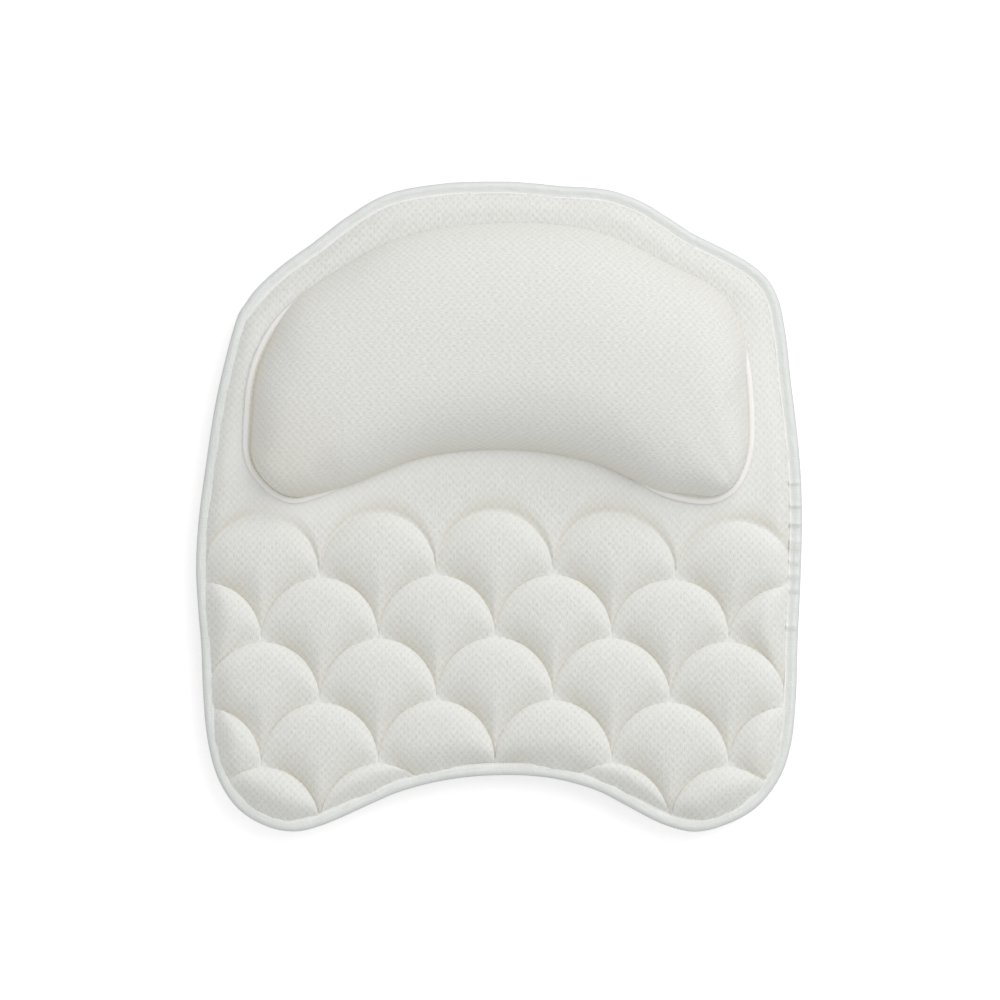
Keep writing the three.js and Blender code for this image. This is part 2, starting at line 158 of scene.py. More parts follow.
# Swelling of the padded pieces under pressure.
SWELL_FRAMES = 20
PRESSURE = 3
SLACK = 0.01
FACE_SWELL = 2 * MM
COVER_SWELL = 3 * MM
PIN_REACH = 0.5 * MM  # the cover is pinned up to this far over its foot

# Stitches: pitch, length and thickness.
BINDING_STITCH = (2.6 * MM, 2.1 * MM, 0.45 * MM)
WELT_STITCH = (2.6 * MM, 2 * MM, 0.4 * MM)
PATCH_STITCH = (2.4 * MM, 1.9 * MM, 0.45 * MM)

# Suction cups and their patches, on the axes of their hinges.
CUP_SIDES = 64
CUP_RADIUS = 26 * MM
CUP_RIM = 3 * MM
CUP_LIP = 1 * MM
CUP_HEIGHT = 13 * MM
CUP_HOLLOW = 9 * MM
CUP_WALL = 2 * MM
SHOULDER_RADIUS = 9 * MM
NECK_RADIUS = 4.5 * MM
HEAD_RADIUS = 7.5 * MM
HEAD_HEIGHT = 6 * MM
EYELET_RADIUS = 4.9 * MM
EYELET_SIDES = 32
PATCH_RADIUS = 18 * MM
PATCH_SEAMS = (EYELET_RADIUS + 2 * MM, PATCH_RADIUS - 2.2 * MM)
PATCH_SEAM_SIDES = 96
CUP_JOINTS = frame["joints"]

# Stage: camera, white room, one lamp and floor.
FRAME_WIDTH = 0.61
CAMERA_DISTANCE = 3.5
CAMERA_AIM = (0.0006, 0.004)
ROOM_LIGHT = 0.672
KEY_SIZE = 2.6
KEY_POWER = 28
KEY_PLACE = (1.15, 1.25, 1.8)
FLOOR_LEVEL = -0.3 * MM
FLOOR_HALF = 3
FLOOR_GLOW = 0.5


# Loops and meshes

def signed_area(loop):
    x, y = loop.T
    return np.sum(x * np.roll(y, -1) - y * np.roll(x, -1)) / 2


def rim_loop(node, height):
    """The outermost ring of a node's corners at one height, anticlockwise seen from above."""
    mesh = bmesh.new()
    mesh.from_mesh(frame["nodes"][node].data)
    bmesh.ops.remove_doubles(mesh, verts=mesh.verts, dist=1e-6)
    level = {v for v in mesh.verts if abs(v.co.z - height) < LEVEL_REACH}
    start = max(level, key=lambda v: v.co.x)
    ring, before, here = [start], None, start
    while True:
        ahead = [e.other_vert(here) for e in here.link_edges]
        step = next(v for v in ahead if v in level and v is not before)
        if step is start:
            break
        ring.append(step)
        before, here = here, step
    points = np.array([v.co.xy for v in ring])
    mesh.free()
    return points if signed_area(points) > 0 else points[::-1]


def refine(points, steps):
    """A closed loop with each span cut into equal steps along a smooth curve."""
    before, after, beyond = (np.roll(points, -shift, axis=0) for shift in (-1, 1, 2))
    spans = []
    for t in np.arange(steps) / steps:
        spans.append(0.5 * (
            2 * points + (after - before) * t
            + (2 * before - 5 * points + 4 * after - beyond) * t ** 2
            + (3 * points - before - 3 * after + beyond) * t ** 3
        ))
    return np.stack(spans, axis=1).reshape(-1, 2)


def inward(loop):
    """Unit normals of a loop, pointing into it."""
    along = np.roll(loop, -1, axis=0) - np.roll(loop, 1, axis=0)
    along /= np.linalg.norm(along, axis=1, keepdims=True)
    return np.stack([-along[:, 1], along[:, 0]], axis=1)


def inset(loop, distance):
    return loop + inward(loop) * np.reshape(distance, (-1, 1))


def raised(line, height):
    """A flat line set at one height, or each of its points at its own."""
    return np.column_stack([line, np.broadcast_to(height, len(line))])


def circle(place, radius, count):
    turns = np.linspace(0, 2 * np.pi, count, endpoint=False)
    return np.stack([place[0] + radius * np.cos(turns), place[1] + radius * np.sin(turns)], axis=1)


def loop_edges(loops):
    """Edges along each of the loops, whose points are numbered from the first loop on."""
    edges, first = [], 0
    for loop in loops:
        edges += [(first + i, first + (i + 1) % len(loop)) for i in range(len(loop))]
        first += len(loop)
    return edges


def run_length(line):
    """Length along a line up to each of its points."""
    steps = np.linalg.norm(np.diff(line, axis=0), axis=1)
    return np.concatenate([[0], np.cumsum(steps)])


def girth(loop):
    return run_length(np.vstack([loop, loop[:1]]))[-1]


def depth_inside(points, loop):
    """Distance of each point from the loop, positive inside, with the nearest point and the normal there."""
    normals = inward(loop)
    ends = np.roll(loop, -1, axis=0)
    span = ends - loop
    depth = np.empty(len(points))
    nearest = np.empty_like(points)
    facing = np.empty_like(points)
    for first in range(0, len(points), 2000):
        block = points[first:first + 2000]
        offset = block[:, None] - loop[None]
        share = np.clip((offset * span).sum(2) / (span ** 2).sum(1), 0, 1)
        foot = loop + share[..., None] * span
        gap = np.linalg.norm(block[:, None] - foot, axis=2)
        best = gap.argmin(axis=1)
        rows = np.arange(len(block))
        place = foot[rows, best]
        side = np.sign(((block - place) * normals[best]).sum(1))
        depth[first:first + 2000] = gap[rows, best] * side
        nearest[first:first + 2000] = place
        facing[first:first + 2000] = normals[best]
    return depth, nearest, facing


def smoothstep(low, high, value):
    share = np.clip((value - low) / (high - low), 0, 1)
    return share * share * (3 - 2 * share)


def between(value, start, full, fade, end):
    """1 from full to fade, 0 outside start and end, and smooth steps between them."""
    return smoothstep(start, full, value) * (1 - smoothstep(fade, end, value))


def add_object(name, data):
    added = bpy.data.objects.new(name, data)
    bpy.context.scene.collection.objects.link(added)
    return added


def new_piece(name, vertices, faces, smooth=True):
    mesh = bpy.data.meshes.new(name)
    corners = [list(dict.fromkeys(int(i) for i in face)) for face in faces]
    mesh.from_pydata(np.asarray(vertices).tolist(), [], [face for face in corners if len(face) > 2])
    mesh.polygons.foreach_set("use_smooth", [smooth] * len(mesh.polygons))
    return add_object(name, mesh)


def ring_faces(rings, count, closed=False):
    """Quads between rings of equal count; a closed stack joins the last ring to the first."""
    faces = []
    for ring in range(rings if closed else rings - 1):
        low, high = ring * count, (ring + 1) % rings * count
        for i in range(count):
            j = (i + 1) % count
            faces.append((low + i, low + j, high + j, high + i))
    return faces


@contextmanager
def edited(piece, closed=True):
    """A piece's mesh, open for changes that go back into it; a closed one is turned to face outwards."""
    mesh = bmesh.new()
    mesh.from_mesh(piece.data)
    yield mesh
    if closed:
        bmesh.ops.recalc_face_normals(mesh, faces=mesh.faces)
    mesh.to_mesh(piece.data)
    mesh.free()


def weld(piece, reach, closed=True):
    """Joins the points that lie in one place."""
    with edited(piece, closed) as mesh:
        bmesh.ops.remove_doubles(mesh, verts=mesh.verts, dist=reach)


def new_vertices(made):
    return (item for item in made if isinstance(item, bmesh.types.BMVert))


def set_uv(piece, coordinates, around=None):
    """A UV map from one coordinate per vertex, in metres; around is the length of a loop that closes."""
    mesh = piece.data
    corner = np.empty(len(mesh.loops), dtype=np.int32)
    mesh.loops.foreach_get("vertex_index", corner)
    places = np.asarray(coordinates, dtype=np.float32)[corner]
    if around:
        along = places[:, 0].reshape(-1, 4)
        along[along < along.max(axis=1, keepdims=True) - around / 2] += around
        places[:, 0] = along.ravel()
    layer = mesh.uv_layers.new(name="weave")
    layer.data.foreach_set("uv", places.ravel())


def swept(name, loop, profile, lifts):
    """A closed tube along a loop from a profile of depths inside it and heights, each with a lift to add. Its
    UV map runs along the loop and round the profile."""
    rings = [raised(inset(loop, depth), height + lift) for (depth, height), lift in zip(profile, lifts)]
    piece = new_piece(name, np.concatenate(rings), ring_faces(len(rings), len(loop), closed=True))
    along, across = run_length(loop), run_length(profile)
    set_uv(piece, np.stack([np.tile(along, len(rings)), np.repeat(across, len(loop))], axis=1), girth(loop))
    return piece


def set_mask(piece, name, values):
    layer = piece.data.attributes.new(name, "FLOAT", "POINT")
    layer.data.foreach_set("value", np.asarray(values, dtype=np.float32))


# Cloth

def inflate(piece, pinned, cap, evening):
    """Lets a sheet swell under pressure from its pinned points, keeps each point near where it began and
    evens out the finest wrinkles."""
    start = np.array([v.co for v in piece.data.vertices])
    group = piece.vertex_groups.new(name="pinned")
    group.add([int(i) for i in np.flatnonzero(pinned)], 1.0, "REPLACE")
    cloth = piece.modifiers.new("swell", "CLOTH")
    settings = cloth.settings
    settings.quality = 6
    settings.mass = 0.02
    settings.air_damping = 4
    settings.tension_stiffness = settings.compression_stiffness = 20
    settings.shear_stiffness = 8
    settings.bending_stiffness = 0.2
    settings.vertex_group_mass = group.name
    settings.pin_stiffness = 1
    settings.shrink_min = -SLACK
    settings.use_pressure = True
    settings.uniform_pressure_force = PRESSURE
    settings.effector_weights.gravity = 0
    cloth.collision_settings.use_collision = False
    cloth.collision_settings.use_self_collision = False
    cloth.point_cache.frame_start, cloth.point_cache.frame_end = 1, SWELL_FRAMES
    scene = bpy.context.scene
    for number in range(1, SWELL_FRAMES + 1):
        scene.frame_set(number)
    swollen = piece.evaluated_get(bpy.context.evaluated_depsgraph_get())
    moved = np.array([v.co for v in swollen.data.vertices]) - start
    piece.modifiers.remove(cloth)
    piece.vertex_groups.remove(group)
    scene.frame_set(1)
    reach = np.linalg.norm(moved, axis=1, keepdims=True)
    moved *= np.minimum(1, np.reshape(cap, (-1, 1)) / np.maximum(reach, 1e-9))
    one, two = np.array([edge.vertices[:] for edge in piece.data.edges]).T
    shared = np.bincount(one, minlength=len(start)) + np.bincount(two, minlength=len(start))
    for _ in range(evening):
        spread = np.zeros_like(moved)
        np.add.at(spread, one, moved[two])
        np.add.at(spread, two, moved[one])
        moved[~pinned] = (0.5 * moved + 0.5 * spread / np.maximum(shared, 1)[:, None])[~pinned]
    piece.data.vertices.foreach_set("co", (start + moved).ravel())
    piece.data.update()


def keep_result(piece, modifier):
    """Leaves what a modifier makes in the piece's own mesh."""
    shape = piece.evaluated_get(bpy.context.evaluated_depsgraph_get())
    piece.data = bpy.data.meshes.new_from_object(shape)
    piece.modifiers.remove(modifier)


def subdivide(piece):
    smooth = piece.modifiers.new("smooth", "SUBSURF")
    smooth.levels = smooth.render_levels = 1
    keep_result(piece, smooth)


# Shader groups and materials

def add_node(tree, kind, inputs=None, **settings):
    node = tree.nodes.new(kind)
    for name, value in settings.items():
        setattr(node, name, value)
    for key, value in (inputs or {}).items():
        if isinstance(value, bpy.types.NodeSocket):
            tree.links.new(value, node.inputs[key])
        else:
            node.inputs[key].default_value = value
    return node


def maths(tree, operation, a, b=0.0, c=0.0):
    return add_node(tree, "ShaderNodeMath", {0: a, 1: b, 2: c}, operation=operation).outputs[0]


def times(tree, a, b):
    return maths(tree, "MULTIPLY", a, b)


def vector_maths(tree, operation, inputs):
    return add_node(tree, "ShaderNodeVectorMath", inputs, operation=operation).outputs[0]


def stretched(tree, place, scale):
    return add_node(tree, "ShaderNodeMapping", {"Vector": place, "Scale": scale}).outputs[0]


def attribute(tree, name):
    return add_node(tree, "ShaderNodeAttribute", attribute_name=name).outputs["Fac"]


def ramp(tree, value, low, high):
    """0 below low, 1 above high, and a smooth step between them."""
    inputs = {"Value": value, "From Min": low, "From Max": high}
    return add_node(tree, "ShaderNodeMapRange", inputs, interpolation_type="SMOOTHSTEP").outputs[0]


def mix_colour(tree, share, a, b):
    return add_node(tree, "ShaderNodeMix", {0: share, 6: a, 7: b}, data_type="RGBA").outputs[2]


def noise(tree, place, scale, detail=2.0):
    return add_node(tree, "ShaderNodeTexNoise", {"Vector": place, "Scale": scale, "Detail": detail}).outputs


def new_group(name, inputs, outputs):
    """An empty group that takes a place and named values."""
    tree = bpy.data.node_groups.new(name, "ShaderNodeTree")
    tree.interface.new_socket("Vector", in_out="INPUT", socket_type="NodeSocketVector")
    for label, value in inputs.items():
        socket = tree.interface.new_socket(label, in_out="INPUT", socket_type="NodeSocketFloat")
        socket.default_value = value
    for label in outputs:
        tree.interface.new_socket(label, in_out="OUTPUT", socket_type="NodeSocketFloat")
    return tree, tree.nodes.new("NodeGroupInput").outputs, tree.nodes.new("NodeGroupOutput").inputs


def air_mesh_group():
    """Knitted mesh: rows of slits, each row shifted half a step, with raised knots of thread between them."""
    tree, given, out = new_group(
        "air_mesh", {"Column Step": 2.3 * MM, "Row Step": 2.5 * MM, "Waver": 0.7 * MM},
        ["Hole", "Knot", "Thread", "Relief", "Tone"],
    )
    drift = noise(tree, given["Vector"], scale=110.0)["Color"]
    centred = vector_maths(tree, "SUBTRACT", {0: drift, 1: (0.5, 0.5, 0.5)})
    shift = vector_maths(tree, "SCALE", {0: centred, "Scale": times(tree, given["Waver"], 2.0)})
    place = vector_maths(tree, "ADD", {0: given["Vector"], 1: shift})
    axes = add_node(tree, "ShaderNodeSeparateXYZ", {0: place}).outputs
    waves = []
    for axis, step in ((axes[0], given["Column Step"]), (axes[1], given["Row Step"])):
        turn = times(tree, maths(tree, "DIVIDE", axis, step), math.pi)
        waves.append(maths(tree, "COSINE", turn))
    narrow = times(tree, waves[0], maths(tree, "ABSOLUTE", waves[0]))
    blunt = maths(tree, "POWER", maths(tree, "ABSOLUTE", waves[1]), 0.6)
    tall = times(tree, maths(tree, "SIGN", waves[1]), blunt)
    lattice = times(tree, narrow, tall)
    slit = ramp(tree, lattice, 0.2, 0.9)
    knot = ramp(tree, times(tree, lattice, -1.0), 0.0, 0.9)
    spun = stretched(tree, place, (1500.0, 420.0, 900.0))
    thread = noise(tree, spun, scale=1.0, detail=1.0)["Fac"]
    patchy = ramp(tree, noise(tree, given["Vector"], scale=330.0)["Fac"], 0.3, 0.7)
    hole = times(tree, slit, maths(tree, "MULTIPLY_ADD", patchy, 0.8, 0.25))
    tree.links.new(hole, out["Hole"])
    tree.links.new(knot, out["Knot"])
    tree.links.new(ramp(tree, thread, 0.25, 0.75), out["Thread"])
    height = maths(tree, "MULTIPLY_ADD", thread, 0.3, times(tree, knot, 0.6))
    tree.links.new(maths(tree, "SUBTRACT", height, slit), out["Relief"])
    tree.links.new(noise(tree, given["Vector"], scale=14.0, detail=3.0)["Fac"], out["Tone"])
    return tree


def satin_group():
    """Woven satin: close ribs across the tape, long faint streaks along it and fine crinkles."""
    tree, given, out = new_group("satin_weave", {"Rib Step": 0.7 * MM}, ["Relief", "Tone"])
    axes = add_node(tree, "ShaderNodeSeparateXYZ", {0: given["Vector"]}).outputs
    turn = times(tree, maths(tree, "DIVIDE", axes[0], given["Rib Step"]), 2 * math.pi)
    rib = maths(tree, "SINE", turn)
    streak = noise(tree, stretched(tree, given["Vector"], (90.0, 900.0, 90.0)), scale=1.0, detail=3.0)["Fac"]
    crinkle = noise(tree, given["Vector"], scale=330.0)["Fac"]
    drawn = maths(tree, "MULTIPLY_ADD", crinkle, 2.0, streak)
    tree.links.new(maths(tree, "MULTIPLY_ADD", rib, 0.2, drawn), out["Relief"])
    tree.links.new(streak, out["Tone"])
    return tree


AIR_MESH = air_mesh_group()
SATIN = satin_group()


def new_material(name, **sockets):
    material = bpy.data.materials.new(name)
    material.use_nodes = True
    surface = material.node_tree.nodes["Principled BSDF"]
    for label, value in sockets.items():
        surface.inputs[label.replace("_", " ")].default_value = value
    return material, material.node_tree, surface


def weave_place(tree, uv_map):
    """The coordinates that a pattern follows: a piece's own UV map, or the object's."""
    if uv_map:
        return add_node(tree, "ShaderNodeUVMap", uv_map=uv_map).outputs[0]
    return add_node(tree, "ShaderNodeTexCoord").outputs["Object"]


def placed_group(tree, group, inputs):
    return add_node(tree, "ShaderNodeGroup", inputs, node_tree=group).outputs


def add_bump(tree, surface, height, strength, distance):
    bump = add_node(tree, "ShaderNodeBump", {"Strength": strength, "Distance": distance, "Height": height})
    tree.links.new(bump.outputs[0], surface.inputs["Normal"])


def mesh_fabric(name, thread, hole, column_step, row_step, openness, uv_map=None, painted_shade_tint=None):
    """Air mesh: pale thread with paler knots and darker slits. Painted shade gives it a warmer, darker tint
    in the folds and near the cushion's foot, and a painted highlight makes it paler and closes its slits over
    the scale rims and beside the cushion."""
    material, tree, surface = new_material(name, Roughness=0.85, Sheen_Weight=0.12, Sheen_Roughness=0.6)
    weave = placed_group(tree, AIR_MESH, {
        "Vector": weave_place(tree, uv_map), "Column Step": column_step, "Row Step": row_step,
    })
    worn = tuple(0.98 * c for c in thread[:3]) + (1,)
    dull = tuple(0.87 * c for c in thread[:3]) + (1,)
    bright = tuple(0.45 + 0.55 * c for c in thread[:3]) + (1,)
    base = mix_colour(tree, weave["Thread"], dull, mix_colour(tree, weave["Tone"], worn, thread))
    open_share = times(tree, weave["Hole"], openness)
    pale_share = times(tree, weave["Knot"], times(tree, weave["Thread"], KNOT_PALENESS))
    if painted_shade_tint:
        # Painted shade: the cloth turns warmer and darker where its shade mask is high.
        base = mix_colour(tree, attribute(tree, "painted_shade"), base, painted_shade_tint)
        # Painted highlight: where the rim mask is high the cloth turns paler and its slits close.
        rim = attribute(tree, "rim")
        open_share = times(tree, open_share, maths(tree, "MULTIPLY_ADD", rim, -HIGHLIGHT_SLIT_CLOSING, 1.0))
        pale_share = maths(tree, "MULTIPLY_ADD", rim, RIM_HIGHLIGHT, pale_share)
    base = mix_colour(tree, pale_share, base, bright)
    tree.links.new(mix_colour(tree, open_share, base, hole), surface.inputs["Base Color"])
    add_bump(tree, surface, weave["Relief"], strength=0.3, distance=0.35 * MM)
    return material


def satin_tape(name, colour, shade, rib_step, roughness, shine=0.45, crease=0.2 * MM, tints=None):
    """Satin. A tape with tints has painted shade where it is folded over the edge and a painted highlight
    along its turned hem.
    """
    material, tree, surface = new_material(
        name, Roughness=roughness, Sheen_Weight=0.15, Specular_IOR_Level=shine,
    )
    weave = placed_group(tree, SATIN, {"Vector": weave_place(tree, "weave"), "Rib Step": rib_step})
    base = mix_colour(tree, weave["Tone"], shade, colour)
    for mask, tint in (tints or {}).items():
        base = mix_colour(tree, attribute(tree, mask), base, tint)
    tree.links.new(base, surface.inputs["Base Color"])
    add_bump(tree, surface, weave["Relief"], strength=0.5, distance=crease)
    return material


def sewing_thread():
    material, tree, surface = new_material("white_thread", Roughness=0.5, Sheen_Weight=0.2)
    twist = noise(tree, weave_place(tree, None), scale=2500.0, detail=1.0)["Fac"]
    tone = mix_colour(tree, twist, (0.74, 0.74, 0.7, 1), (0.86, 0.86, 0.83, 1))
    tree.links.new(tone, surface.inputs["Base Color"])
    add_bump(tree, surface, twist, strength=0.4, distance=0.15 * MM)
    return material


def clear_plastic():
    """Soft clear plastic with a faint cool tint, slightly cloudy from handling."""
    material, tree, surface = new_material("clear_plastic", Transmission_Weight=0.8, IOR=1.4)
    place = weave_place(tree, None)
    cloud = ramp(tree, noise(tree, place, scale=90.0, detail=3.0)["Fac"], 0.35, 0.75)
    tree.links.new(maths(tree, "MULTIPLY_ADD", cloud, 0.15, 0.12), surface.inputs["Roughness"])
    tint = mix_colour(tree, cloud, (0.94, 0.97, 0.96, 1), (0.90, 0.93, 0.92, 1))
    tree.links.new(tint, surface.inputs["Base Color"])
    ripple = noise(tree, place, scale=220.0, detail=1.0)["Fac"]
    add_bump(tree, surface, ripple, strength=0.08, distance=0.3 * MM)
    return material


# The tint given with each air mesh is painted shade, for its folds and the cushion's foot.
FACE_MESH = mesh_fabric(
    "face_air_mesh", thread=(0.82, 0.822, 0.786, 1), hole=(0.59, 0.59, 0.54, 1),
    painted_shade_tint=(0.68, 0.65, 0.55, 1), column_step=2.3 * MM, row_step=2.5 * MM, openness=0.46,
)
CUSHION_MESH = mesh_fabric(
    "cushion_air_mesh", thread=(0.82, 0.82, 0.785, 1), hole=(0.62, 0.61, 0.56, 1),
    painted_shade_tint=(0.70, 0.665, 0.57, 1), column_step=2.5 * MM, row_step=2.25 * MM, openness=0.42, uv_map="weave",
)
REAR_MESH = mesh_fabric(
    "rear_air_mesh", thread=(0.80, 0.80, 0.78, 1), hole=(0.40, 0.40, 0.38, 1),
    column_step=2.8 * MM, row_step=3.2 * MM, openness=0.75,
)
# The binding's tints are painted shade on its outer fold and a painted highlight along its hem.
BINDING_SATIN = satin_tape(
    "binding_satin", colour=(0.815, 0.84, 0.815, 1), shade=(0.69, 0.715, 0.695, 1),
    rib_step=0.9 * MM, roughness=0.3, shine=0.8, crease=0.5 * MM,
    tints={"fold_shade": (0.59, 0.605, 0.58, 1), "hem_highlight": (0.90, 0.90, 0.88, 1)},
)
WELT_SATIN = satin_tape(
    "welt_satin", colour=(0.94, 0.93, 0.905, 1), shade=(0.88, 0.87, 0.84, 1),
    rib_step=0.8 * MM, roughness=0.55,
)
PATCH_TAPE = satin_tape(
    "patch_tape", colour=(0.80, 0.80, 0.78, 1), shade=(0.72, 0.72, 0.70, 1),
    rib_step=1.1 * MM, roughness=0.6,
)
THREAD = sewing_thread()
CLEAR_PLASTIC = clear_plastic()


def finish_piece(piece, material, body, slot, *nodes):
    piece.data.materials.clear()
    piece.data.materials.append(material)
    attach(piece, body)
    if nodes:
        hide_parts(*nodes)


# Stitches

STITCH_SIZES = ("Pitch", "Length", "Thickness")


def stitch_tree():
    """Short stitches of thread laid end to end along the loops of a mesh, each turned along its loop."""
    tree = bpy.data.node_groups.new("stitches", "GeometryNodeTree")
    sockets = {"Geometry": "Geometry"} | dict.fromkeys(STITCH_SIZES, "Float") | {"Thread": "Material"}
    for label, kind in sockets.items():
        tree.interface.new_socket(label, in_out="INPUT", socket_type="NodeSocket" + kind)
    tree.interface.new_socket("Geometry", in_out="OUTPUT", socket_type="NodeSocketGeometry")
    given = tree.nodes.new("NodeGroupInput").outputs
    curve = add_node(tree, "GeometryNodeMeshToCurve", {"Mesh": given["Geometry"]}).outputs[0]
    spacing = {"Curve": curve, "Length": given["Pitch"]}
    points = add_node(tree, "GeometryNodeCurveToPoints", spacing, mode="LENGTH").outputs
    facing = {"Vector": points["Tangent"]}
    turn = add_node(tree, "FunctionNodeAlignRotationToVector", facing, axis="X").outputs[0]
    bead = add_node(tree, "GeometryNodeMeshUVSphere", {"Segments": 6, "Rings": 4, "Radius": 0.5}).outputs
    smooth = add_node(tree, "GeometryNodeSetShadeSmooth", {0: bead["Mesh"]}).outputs[0]
    sides = {0: given["Length"], 1: given["Thickness"], 2: given["Thickness"]}
    size = add_node(tree, "ShaderNodeCombineXYZ", sides).outputs[0]
    sewn = add_node(tree, "GeometryNodeInstanceOnPoints", {
        "Points": points["Points"], "Instance": smooth, "Rotation": turn, "Scale": size,
    }).outputs[0]
    real = add_node(tree, "GeometryNodeRealizeInstances", {0: sewn}).outputs[0]
    dress = {"Geometry": real, "Material": given["Thread"]}
    dressed = add_node(tree, "GeometryNodeSetMaterial", dress).outputs[0]
    tree.links.new(dressed, tree.nodes.new("NodeGroupOutput").inputs["Geometry"])
    return tree


STITCHES = stitch_tree()


def make_stitches(name, loops, stitch, slot):
    """One piece of stitches along closed loops of points."""
    mesh = bpy.data.meshes.new(name)
    mesh.from_pydata(np.concatenate(loops).tolist(), loop_edges(loops), [])
    piece = add_object(name, mesh)
    sewing = piece.modifiers.new("sewing", "NODES")
    sewing.node_group = STITCHES
    names = {item.name: item.identifier for item in STITCHES.interface.items_tree if item.in_out == "INPUT"}
    for label, value in zip((*STITCH_SIZES, "Thread"), (*stitch, THREAD)):
        sewing[names[label]] = value
    keep_result(piece, sewing)
    finish_piece(piece, THREAD, "pad", slot)


# Pad: the quilted face over its core

def arc_point(x, y, turn):
    return np.stack([x + SCALE_WIDTH / 2 * np.cos(turn), y + SCALE_RISE * np.sin(turn)], axis=-1)


def scale_arc(centre_x, base_y):
    """The stitched arc of one scale, left to right."""
    return arc_point(centre_x, base_y, np.pi * (1 - np.linspace(0, 1, SCALE_COLUMNS + 1)))


def scale_patch(centre_x, base_y):
    """One scale in columns from the arcs below it to its own arc, which it leans over, with how far up the
    scale each point lies, how near the rim for a painted highlight, and a painted shade deep in the fold that
    is strongest on the scale's left side, which faces away from the lamp."""
    share = np.linspace(0, 1, SCALE_COLUMNS + 1)
    side = np.where(share <= 0.5, -1, 1)
    turn = np.where(share <= 0.5, np.pi * (0.5 - share), np.pi * (1.5 - share))
    low = arc_point(centre_x + side * SCALE_WIDTH / 2, base_y - SCALE_RISE, turn)
    high = scale_arc(centre_x, base_y)
    level = (1 - np.cos(np.pi * np.linspace(0, 1, SCALE_LEVELS + 1))) / 2
    length = np.linalg.norm(high - low, axis=1)[:, None]
    way = (high - low) / np.maximum(length, 1e-6)
    behind_arc = (1 - level) * length / RIM_ROUND
    lean = SCALE_OVERHANG * behind_arc * np.exp(1 - behind_arc) * (level > 0)
    grid = low[:, None] + way[:, None] * (level * length + lean)[..., None]
    upward = np.clip((grid[..., 1] - base_y + SCALE_RISE) / (2 * SCALE_RISE), 0, 1)
    # Painted highlight along the scale's own rim.
    rim = np.exp(-(((1 - level) * length / RIM_SHINE) ** 2)) * smoothstep(0.45, 0.7, upward)
    # Painted shade in the fold: strongest on the left, away from the lamp, and fading up the scale.
    drawn_in = between(share, 0.02, 0.2, 0.8, 0.98) * (1 - 0.6 * smoothstep(0.46, 0.75, share))
    fold_shade = drawn_in[:, None] * np.exp(-level * length / FOLD_SHADE)
    return grid, upward, rim, fold_shade


def apron_patch(centre_x, base_y, top):
    """The plain cloth above a scale of the first row: columns that spread evenly on their way to the head
    edge, with their rise over the stitches and the shade painted along the arc."""
    arc = scale_arc(centre_x, base_y)
    even = centre_x + SCALE_WIDTH * (np.linspace(0, 1, SCALE_COLUMNS + 1) - 0.5)
    rise = (top - arc[:, 1])[:, None] * np.linspace(0, 1, APRON_LEVELS + 1)
    x = arc[:, None, 0] + (even - arc[:, 0])[:, None] * smoothstep(0, APRON_SPREAD, rise)
    grid = np.stack([x, arc[:, 1][:, None] + rise], axis=-1)
    swell = (APRON_LEVEL - STITCH_LEVEL) * (1 - (1 - np.clip(rise / APRON_ROLL, 0, 1)) ** 2)
    # Painted shade on the apron along the stitched arc.
    return grid, swell, np.clip(1 - rise / APRON_SHADE, 0, 1) ** 1.5


def quilt_patches(width, foot, head):
    """Every scale, and the apron over the first row. Of each point: the place, how far up a scale it lies,
    its nearness to the rim for a painted highlight, the height of plain cloth, the painted shade, and whether
    it is held."""
    reach = math.ceil((width / 2 + SCALE_WIDTH / 2) / SCALE_WIDTH)
    rows = math.ceil((FIRST_ROW - foot) / SCALE_RISE) + 1
    for row in range(rows):
        base_y = FIRST_ROW - SCALE_RISE * (row + 1)
        for n in range(-reach, reach + 1):
            centre_x = (n - 0.5 * (row % 2)) * SCALE_WIDTH + QUILT_SHIFT
            grid, upward, rim, fold_shade = scale_patch(centre_x, base_y)
            none = np.zeros(rim.shape)
            held = none.astype(bool)
            held[:, [0, -1]] = True
            yield grid, upward, rim, none, fold_shade, held
            if row == 0:
                grid, rise, painted_shade = apron_patch(centre_x, base_y, head + APRON_MARGIN)
                none = np.zeros(rise.shape)
                yield grid, none, none, rise, painted_shade, ~none.astype(bool)


def stuffed(points, quads, upward, held):
    """Lift of a stuffed sheet between its held lines, up to 1, with most stuffing high up in each scale."""
    pairs = np.concatenate([quads[:, [0, 1]], quads[:, [1, 2]], quads[:, [2, 3]], quads[:, [3, 0]]])
    pairs = np.unique(np.sort(pairs[pairs[:, 0] != pairs[:, 1]], axis=1), axis=0)
    one, two = pairs.T
    pull = 1 / np.sum((points[one] - points[two]) ** 2, axis=1)
    total = np.bincount(one, pull, len(points)) + np.bincount(two, pull, len(points))
    free = ~held & (total > 0)
    stuffing = LOW_STUFFING + HIGH_STUFFING * upward ** 3
    lift = np.zeros(len(points))
    for _ in range(RELAX_STEPS):
        drawn = np.bincount(one, pull * lift[two], len(points))
        drawn += np.bincount(two, pull * lift[one], len(points))
        lift[free] = (drawn[free] + stuffing[free]) / total[free]
    return lift / lift.max()


